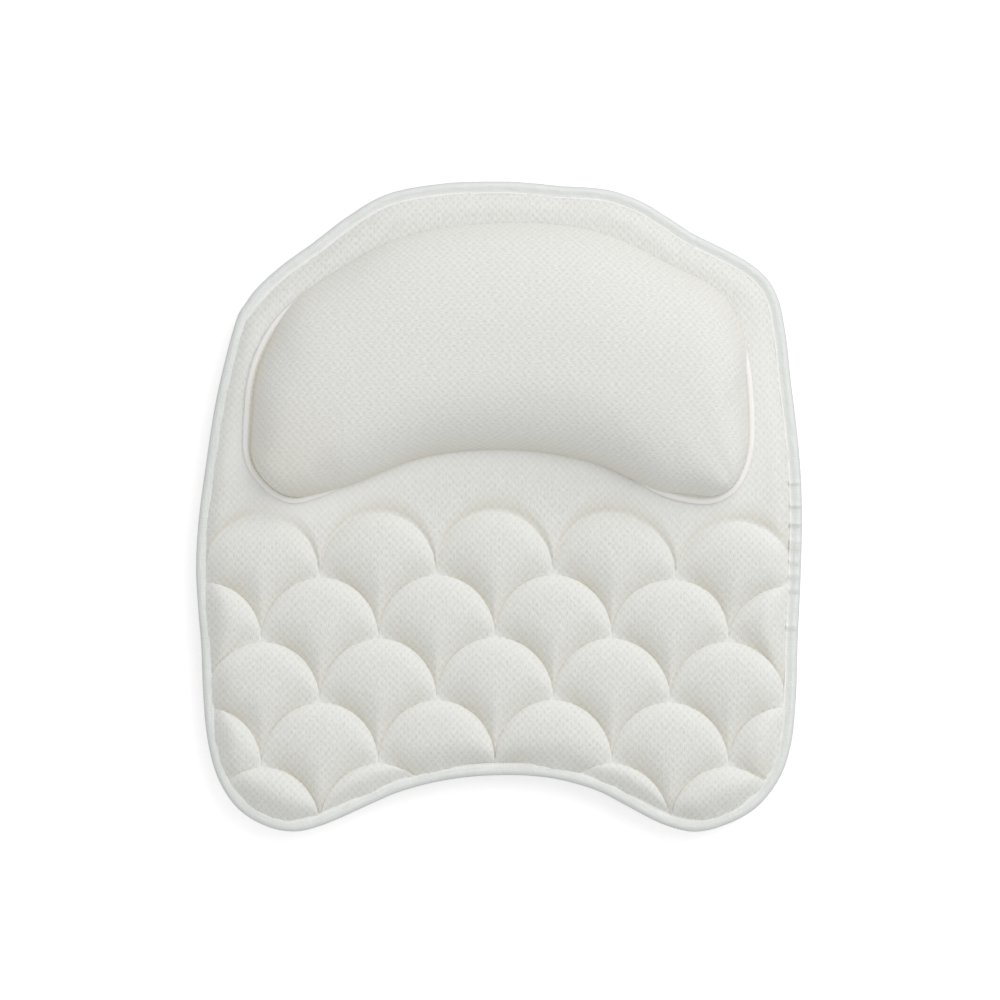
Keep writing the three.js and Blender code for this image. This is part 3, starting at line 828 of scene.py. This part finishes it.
def quilt_sheet(edge):
    """Joined points and quads of the whole face, with height over the stitches, painted shade, painted
    highlight at the rims and held points. Where patches meet, the lighter painted shade and the brighter
    painted highlight are kept."""
    parts = list(quilt_patches(np.ptp(edge[:, 0]), edge[:, 1].min(), edge[:, 1].max()))
    quads, count = [], 0
    for grid, *_ in parts:
        index = count + np.arange(grid.shape[0] * grid.shape[1]).reshape(grid.shape[:2])
        corners = [index[:-1, :-1], index[1:, :-1], index[1:, 1:], index[:-1, 1:]]
        quads.append(np.stack(corners, -1).reshape(-1, 4))
        count += index.size
    points = np.concatenate([part[0].reshape(-1, 2) for part in parts])
    quads = np.concatenate(quads)
    upward, rim, rise, painted_shade, held = (np.concatenate([part[k].ravel() for part in parts]) for k in range(1, 6))
    points[:, 1] -= ROW_SAG * (2 * points[:, 0] / np.ptp(edge[:, 0])) ** 2
    x, y = points.T
    stray = smoothstep(40 * MM, 140 * MM, x) * between(y, *STRAY_SPAN)
    points += stray[:, None] * FIRST_ROW_STRAY
    places = np.round(points / JOIN_REACH).astype(int)
    _, first, same = np.unique(places, axis=0, return_index=True, return_inverse=True)
    same = same.ravel()
    joined = np.zeros(len(first), dtype=bool)
    np.logical_or.at(joined, same, held)
    least_shade, bright = np.ones(len(first)), np.zeros(len(first))
    np.minimum.at(least_shade, same, painted_shade)
    np.maximum.at(bright, same, rim)
    points, quads, upward, rise = points[first], same[quads], upward[first], rise[first]
    lift = stuffed(points, quads, upward, joined)
    roundness = CROWN_ROUNDNESS + TIP_ROUNDNESS * (1 - smoothstep(0, 0.65, upward))
    fullness = TIP_FULLNESS + (1 - TIP_FULLNESS) * smoothstep(0, 0.55, upward)
    rise = rise + (FACE_HIGH - STITCH_LEVEL) * fullness * lift ** roundness
    return points, quads, rise, least_shade, bright, joined


def pressed_height(height, depth, land):
    """Height of the face inside the edge: flat as far as its land, then a roll as long as the climb asks."""
    roll = EDGE_ROLL * (height - SEAM_LEVEL) / (FACE_HIGH - SEAM_LEVEL)
    share = np.clip((depth - land) / roll, 0, 1)
    return SEAM_LEVEL + (height - SEAM_LEVEL) * (1 - (1 - share) ** 2) ** ROLL_POWER


def close_below(piece, floor):
    """Turns an open sheet into a closed pad with a flat underside."""
    with edited(piece) as mesh:
        rim = [edge for edge in mesh.edges if edge.is_boundary]
        made = bmesh.ops.extrude_edge_only(mesh, edges=rim)["geom"]
        for vertex in new_vertices(made):
            vertex.co.z = floor
        low_rim = [item for item in made if isinstance(item, bmesh.types.BMEdge) and item.is_boundary]
        underside = bmesh.ops.contextual_create(mesh, geom=low_rim)["faces"]
        bmesh.ops.triangulate(mesh, faces=underside, ngon_method="EAR_CLIP")


def painted_light_beside_cushion(points, welt):
    """Painted light on the cloth beside the cushion, against the shadow it casts, most below it and round its
    left lobe.
    """
    beside = np.maximum(-depth_inside(points, welt)[0], 0)
    x, y = points.T
    lit_share = np.exp(-(beside / PAINTED_LIGHT_REACH) ** 2) * (1 - smoothstep(90 * MM, 150 * MM, y))
    below = (1 - smoothstep(30 * MM, 70 * MM, y)) * (1 - smoothstep(115 * MM, 140 * MM, x))
    return lit_share * (1 + below * (0.5 + 0.4 * smoothstep(60 * MM, 110 * MM, -x)))


def make_pad(edge, welt):
    """The quilted face and its stuffing. It bulges over the tape along the left side, and light is painted
    into its cloth beside the cushion, against the cushion's shadow."""
    points, quads, rise, painted_shade, rim, held = quilt_sheet(edge)
    depth, nearest, facing = depth_inside(points, edge[::2])
    kept = quads[(depth[quads] > TUCKED_EDGE).any(axis=1)]
    at_tape = np.abs(depth - TAPE_WIDTH) < TAPE_DRAW
    depth[at_tape] = TAPE_WIDTH
    depth = np.maximum(depth, TUCKED_EDGE)
    moved = at_tape | (depth == TUCKED_EDGE)
    points[moved] = (nearest + facing * depth[:, None])[moved]
    used, kept = np.unique(kept, return_inverse=True)
    points, depth, facing, rise, painted_shade, rim, held = (
        values[used] for values in (points, depth, facing, rise, painted_shade, rim, held)
    )
    land = SEAM_LAND - LEFT_BULGE * smoothstep(0.75, 0.95, facing[:, 0])
    z = pressed_height(STITCH_LEVEL + rise, depth, land)
    piece = new_piece("quilted_pad", raised(points, z), kept.reshape(-1, 4))
    set_mask(piece, "painted_shade", painted_shade)
    # The rim mask holds painted highlight on the scale rims and painted light beside the cushion.
    set_mask(piece, "rim", np.maximum(rim, painted_light_beside_cushion(points, welt)))
    room = FACE_SWELL * smoothstep(TAPE_WIDTH, 3 * TAPE_WIDTH, depth)
    inflate(piece, held | (depth <= TAPE_WIDTH), cap=room, evening=3)
    weld(piece, WELD_REACH, closed=False)
    subdivide(piece)
    close_below(piece, CORE_LOW)
    finish_piece(piece, FACE_MESH, "pad", "face_mesh", "quilted_face", "core_pad")


# Edge binding

def tape_profile():
    """The folded tape as depths inside the edge and heights: underside, outer fold, rounded top and its hem,
    then back along the inside. Also the numbers of the points on its top."""
    low, high = BINDING_LOW / MM, BINDING_HIGH / MM
    outside = [
        (6.8, low), (3.2, low - 0.2), (1.2, low + 0.4), (0.3, low + 1.6), (0, low + 4), (0.1, high - 2.2),
        (0.45, high - 0.8), (1.1, high + 0.25), (1.9, high + 1), (2.7, high + 1.3), (3.8, high + 1.2),
        (5, high + 0.9), (6.1, high + 0.55), (6.7, high + 0.25), (6.9, high + 0.15), (7.15, high + 0.4),
        (7.5, high + 0.45), (7.8, high + 0.2), (7.9, high - 0.6),
    ]
    inside = [
        (7.7, high - 1.1), (6.2, high - 0.6), (3.6, high + 0.2), (1.7, high - 0.7), (0.9, high - 2.2),
        (0.9, low + 2.4), (1.7, low + 1), (6.8, low + 0.7),
    ]
    return np.array(outside + inside) * MM, range(5, len(outside) + 4)


def make_binding(edge):
    """Satin tape folded over the edge, drawn into puckers where it was eased round the right side."""
    profile, top = tape_profile()
    turns = 2 * np.pi * run_length(edge) / girth(edge)
    ease = TAPE_EASE * sum(np.sin(count * turns + phase) for count, phase in EASE_WAVES)
    right = edge[:, 0] > 0.3 * np.ptp(edge[:, 0])
    for place in PUCKERS:
        ease += np.where(right, PUCKER_RISE * np.exp(-((edge[:, 1] - place) / PUCKER_WIDTH) ** 2), 0)
    lifts = [ease if number in top else UNDER_EASE * ease for number in range(len(profile))]
    piece = swept("satin_binding", edge, profile, lifts)
    depth = profile[:, 0]
    # Painted shade at the outer fold and a painted highlight along the hem.
    outer_fold_shade = np.clip(1 - depth / TAPE_FOLD_SHADE, 0, 1)
    hem_highlight = smoothstep(TAPE_SEAM - HEM_HIGHLIGHT_WIDTH, TAPE_SEAM, depth)
    set_mask(piece, "fold_shade", np.repeat(outer_fold_shade, len(edge)))
    set_mask(piece, "hem_highlight", np.repeat(hem_highlight, len(edge)))
    finish_piece(piece, BINDING_SATIN, "pad", "satin_tape", "edge_binding")
    loops = [
        raised(inset(edge, TAPE_SEAM), BINDING_HIGH - SEAM_SINK + ease),
        raised(inset(edge, UNDER_SEAM), BINDING_LOW),
    ]
    make_stitches("binding_stitches", loops, BINDING_STITCH, "satin_tape")


# Rear panel

def make_rear(edge):
    """The flat rear cloth with a hole for the neck of each cup."""
    outer = inset(edge[::4], REAR_INSET)
    places = np.array([joint["pos_m"][:2] for joint in CUP_JOINTS])
    loops = [outer] + [circle(place, EYELET_RADIUS, EYELET_SIDES) for place in places]
    points = [Vector(point) for point in np.concatenate(loops)]
    cut = delaunay_2d_cdt(points, loop_edges(loops), [], 1, 1e-7)
    flat, triangles = np.array(cut[0]), np.array(cut[2])
    centre = flat[triangles].mean(axis=1)
    eyelet_gap = np.linalg.norm(centre[:, None] - places[None], axis=2).min(axis=1)
    kept = triangles[(depth_inside(centre, outer)[0] > 0) & (eyelet_gap > EYELET_RADIUS * 0.98)]
    piece = new_piece("rear_sheet", raised(flat, REAR_HIGH), kept, smooth=False)
    with edited(piece) as mesh:
        bmesh.ops.recalc_face_normals(mesh, faces=mesh.faces)
        made = bmesh.ops.extrude_face_region(mesh, geom=list(mesh.faces))["geom"]
        for vertex in new_vertices(made):
            vertex.co.z = REAR_LOW
    finish_piece(piece, REAR_MESH, "pad", "rear_mesh", "rear_panel")


# Head cushion

def cushion_seam():
    """The welt's outer edge from the left tip, lower side first, so that points pair off across it."""
    ring = rim_loop("cushion_welt", WELT_HIGH - (WELT_HIGH - WELT_LOW) / 3)
    tip = np.linalg.norm(ring - LEFT_TIP, axis=1).argmin()
    return refine(np.roll(ring, -tip, axis=0), steps=3)


def cover_base(seam_line, lower_side, ends):
    """Where the cover's foot lies: over the welt along the head and the neck, and drawn in behind it round
    the two ends, a little more on the left and where the right lobe is lifted."""
    x, y = seam_line.T
    left_side = smoothstep(115 * MM, 138 * MM, -x) * between(y, *LEFT_SPAN)
    lifted = np.exp(-((x - LIFTED_FOOT) / LIFTED_WIDTH) ** 2) * (1 - smoothstep(15 * MM, 35 * MM, y))
    neck = lower_side * between(x, *NECK_SPAN)
    shoulder = np.where(x > 0, 75 * MM, 108 * MM)
    head = ~lower_side * smoothstep(shoulder, shoulder + 25 * MM, y)
    drawn_in = (ENDS_INSET * ends + LEFT_INSET * left_side + LIFTED_INSET * lifted) * (1 - head)
    return inset(seam_line, COVER_INSET + drawn_in - HEAD_OVERHANG * head - NECK_OVERHANG * neck)


def make_cushion(seam_line):
    """A crowned crescent, fullest on the side of the neck. Shade is painted into its cloth near the foot,
    apart from the head and the right end, and over the left lobe."""
    count = len(seam_line)
    turn = np.arange(count)
    mate = (count - turn) % count
    fullness = np.sqrt(1 - np.abs(1 - 4 * np.minimum(turn, count - turn) / count) ** 3)
    lower_side = turn < count / 2
    x, y = seam_line.T
    head_side = smoothstep(100 * MM, 150 * MM, y)
    ends = smoothstep(90 * MM, 130 * MM, np.abs(x)) * (1 - head_side)
    base = cover_base(seam_line, lower_side, ends)
    middle = (base + base[mate]) / 2
    foot = WELT_HIGH - FOOT_SINK
    rings = [
        raised(inset(seam_line, COVER_INSET), WELT_LOW + COVER_HEM),
        raised(inset(seam_line, COVER_INSET + ENDS_FOLD * ends), foot),
    ]
    neck_side = lower_side * smoothstep(-130 * MM, -50 * MM, x) * (1 - 0.7 * smoothstep(70 * MM, 130 * MM, x))
    crown_power = DOME_CROWN_POWER + NECK_FULLNESS * neck_side
    for angle in np.linspace(0, math.pi / 2, DOME_RINGS):
        spread = max(math.cos(angle), 0)
        crown = (1 - spread ** crown_power) ** DOME_FOOT_POWER
        height = foot + (COVER_HIGH - CROWN_ROOM - foot) * fullness * crown
        rings.append(raised(middle + (base - middle) * spread, height))
    spans = np.linalg.norm(np.diff(np.stack(rings[::-1]), axis=0), axis=2)
    fall = np.concatenate([np.zeros((1, count)), np.cumsum(spans, axis=0)])[::-1]
    away = base - middle
    away /= np.maximum(np.linalg.norm(away, axis=1, keepdims=True), 1e-6)
    flat = (middle[None] + away[None] * fall[..., None]).reshape(-1, 2)
    faces = ring_faces(len(rings), count)
    faces.append(tuple(range(count - 1, -1, -1)))
    vertices = np.concatenate(rings)
    piece = new_piece("head_cushion", vertices, faces)
    set_uv(piece, flat[:, ::-1])
    # Painted shade: darker near the foot except at the head and the right end, and over the left lobe.
    low_down = np.clip(1 - (vertices[:, 2] - WELT_LOW) / FOOT_SHADE, 0, 1) ** 1.5
    unshaded_side = np.maximum(UNSHADED_HEAD * head_side, UNSHADED_RIGHT * smoothstep(90 * MM, 130 * MM, x))
    left_lobe = smoothstep(80 * MM, 130 * MM, -flat[:, 0]) * (1 - smoothstep(30 * MM, 80 * MM, flat[:, 1]))
    shade = low_down * (1 - np.tile(unshaded_side, len(rings))) + LEFT_SHADE * left_lobe
    set_mask(piece, "painted_shade", np.clip(shade, 0, 1))
    weld(piece, WELD_REACH)
    height = np.array([v.co.z for v in piece.data.vertices])
    inflate(piece, height < foot + PIN_REACH, cap=COVER_SWELL, evening=12)
    subdivide(piece)
    finish_piece(piece, CUSHION_MESH, "pad", "cushion_mesh", "cushion_cover", "cushion_fill")


def make_welt(seam_line):
    """The tape-covered welt round the cushion's foot, sewn down along its inner edge."""
    half_width, half_height = WELT_WIDTH / 2, (WELT_HIGH - WELT_LOW) / 2
    turns = np.linspace(0, 2 * np.pi, WELT_SIDES, endpoint=False)
    profile = np.array([
        (half_width * (1 - math.cos(turn)), WELT_LOW + half_height * (1 + math.sin(turn))) for turn in turns
    ])
    piece = swept("cushion_piping", seam_line, profile, np.zeros(WELT_SIDES))
    finish_piece(piece, WELT_SATIN, "pad", "satin_tape", "cushion_welt")
    loop = raised(refine(inset(seam_line, WELT_SEAM), steps=2), WELT_HIGH - WELT_SEAM_SINK)
    make_stitches("welt_stitches", [loop], WELT_STITCH, "satin_tape")


# Suction cups and their patches

def turned(name, profile, place):
    """A solid of revolution about an upright axis, from a profile that returns to it or to its start."""
    rings = [raised(circle(place, radius, CUP_SIDES), height) for radius, height in profile]
    on_axis = profile[0][0] == 0
    piece = new_piece(name, np.concatenate(rings), ring_faces(len(rings), CUP_SIDES, closed=not on_axis))
    weld(piece, AXIS_REACH)
    return piece


def bend(start, control, end, steps):
    """Points of a curve from start towards control and on to end."""
    t = np.linspace(0, 1, steps)[:, None]
    points = (1 - t) ** 2 * np.array(start) + 2 * t * (1 - t) * np.array(control) + t ** 2 * np.array(end)
    return [tuple(point) for point in points]


def cup_profile():
    """Half a cup from the top of its hollow, over the rim, up the bell, neck and head to the axis."""
    soft = 0.6 * MM
    shoulder, neck, head = SHOULDER_RADIUS, NECK_RADIUS, HEAD_RADIUS
    top = CORE_LOW + HEAD_HEIGHT
    hollow_edge = (shoulder + CUP_WALL, CUP_HOLLOW - CUP_WALL)
    inner_rim = CUP_RADIUS - CUP_RIM
    bell = (shoulder + 7 * MM, 7 * MM)
    profile = bend((0, CUP_HOLLOW), (shoulder, CUP_HOLLOW), hollow_edge, 6)
    profile += bend(hollow_edge, (inner_rim - CUP_RIM, 1.4 * MM), (inner_rim, 0), 8)[1:]
    profile += bend((CUP_RADIUS - soft, 0), (CUP_RADIUS, 0), (CUP_RADIUS, CUP_LIP / 2), 3)
    profile += bend((CUP_RADIUS, CUP_LIP), (inner_rim, CUP_LIP + 1.6 * MM), bell, 6)
    profile += bend(bell, (shoulder, 10 * MM), (shoulder, CUP_HEIGHT - CUP_WALL), 6)[1:]
    profile += bend((shoulder, CUP_HEIGHT - soft), (shoulder, CUP_HEIGHT), (shoulder - soft, CUP_HEIGHT), 4)
    profile += [(neck, CUP_HEIGHT), (neck, CORE_LOW), (head - soft, CORE_LOW)]
    profile += bend((head, CORE_LOW + soft), (head, CORE_LOW + HEAD_HEIGHT / 2), (neck, top), 6)
    return profile + [(0, top)]


def make_cups():
    """Each cup rides its own body; its patch and the patch's two rings of stitches stay with the pad."""
    profile = cup_profile()
    low, high = (corner.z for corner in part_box("cup_patch_1"))
    soft = 0.25 * MM
    patch = [
        (EYELET_RADIUS, low + soft), (EYELET_RADIUS + soft, low), (PATCH_RADIUS - soft, low),
        (PATCH_RADIUS, low + soft), (PATCH_RADIUS, high - soft), (PATCH_RADIUS - soft, high),
        (EYELET_RADIUS, high),
    ]
    loops = []
    for number, joint in enumerate(CUP_JOINTS, 1):
        place = joint["pos_m"]
        cup = turned(f"clear_cup_{number}", profile, place)
        finish_piece(cup, CLEAR_PLASTIC, f"cup_{number}", "cup_plastic", f"suction_cup_{number}")
        disc = turned(f"sewn_patch_{number}", patch, place)
        set_uv(disc, [v.co.xy for v in disc.data.vertices])
        finish_piece(disc, PATCH_TAPE, "pad", "patch_tape", f"cup_patch_{number}")
        for radius in PATCH_SEAMS:
            loops.append(raised(circle(place, radius, PATCH_SEAM_SIDES), low))
    make_stitches("patch_stitches", loops, PATCH_STITCH, "patch_tape")


# Stage

def make_camera():
    """Straight above, with the frame of the photograph at the height of the pad's edge."""
    data = bpy.data.cameras.new("camera")
    data.sensor_width = 36
    data.lens = data.sensor_width * CAMERA_DISTANCE / FRAME_WIDTH
    camera = bpy.context.scene.camera = add_object("camera", data)
    camera.location = (*CAMERA_AIM, BINDING_HIGH + CAMERA_DISTANCE)


def make_lights():
    """An even white room and one broad lamp from the upper right."""
    data = bpy.data.lights.new("key", "AREA")
    data.shape, data.size, data.energy = "DISK", KEY_SIZE, KEY_POWER
    key = add_object("key", data)
    key.location = KEY_PLACE
    key.rotation_euler = key.location.to_track_quat("Z", "Y").to_euler()
    world = bpy.context.scene.world = bpy.data.worlds.new("studio")
    world.use_nodes = True
    tree = world.node_tree
    tree.nodes.clear()
    path = add_node(tree, "ShaderNodeLightPath").outputs
    seen = maths(tree, "MAXIMUM", path["Is Camera Ray"], path["Is Glossy Ray"])
    seen = maths(tree, "MAXIMUM", seen, path["Is Transmission Ray"])
    strength = maths(tree, "MULTIPLY_ADD", seen, 1 - ROOM_LIGHT, ROOM_LIGHT)
    light = add_node(tree, "ShaderNodeBackground", {"Color": (1, 1, 1, 1), "Strength": strength})
    out = add_node(tree, "ShaderNodeOutputWorld")
    tree.links.new(light.outputs[0], out.inputs[0])


def make_floor():
    """A white floor just under the cups, seen only from above."""
    corners = [(x * FLOOR_HALF, y * FLOOR_HALF, FLOOR_LEVEL) for x, y in ((-1, -1), (1, -1), (1, 1), (-1, 1))]
    floor = new_piece("floor", corners, [(0, 1, 2, 3)])
    material, tree, surface = new_material(
        "floor_white", Base_Color=(0.8, 0.8, 0.8, 1), Emission_Color=(1, 1, 1, 1),
        Roughness=1.0, Specular_IOR_Level=0.0,
    )
    path = add_node(tree, "ShaderNodeLightPath").outputs
    seen = maths(tree, "MAXIMUM", path["Is Camera Ray"], path["Is Transmission Ray"])
    tree.links.new(times(tree, seen, FLOOR_GLOW), surface.inputs["Emission Strength"])
    below = add_node(tree, "ShaderNodeNewGeometry").outputs["Backfacing"]
    clear = add_node(tree, "ShaderNodeBsdfTransparent").outputs[0]
    shown = add_node(tree, "ShaderNodeMixShader", {0: below, 1: surface.outputs[0], 2: clear}).outputs[0]
    tree.links.new(shown, tree.nodes["Material Output"].inputs["Surface"])
    floor.data.materials.append(material)


make_camera()
make_lights()
make_floor()

pad_edge = refine(rim_loop("edge_binding", BINDING_HIGH - TAPE_THICKNESS), steps=20)
welt_edge = cushion_seam()
make_pad(pad_edge, welt_edge)
make_binding(pad_edge)
make_rear(pad_edge)
make_cushion(welt_edge)
make_welt(welt_edge)
make_cups()

bpy.context.scene.view_settings.view_transform = "Standard"
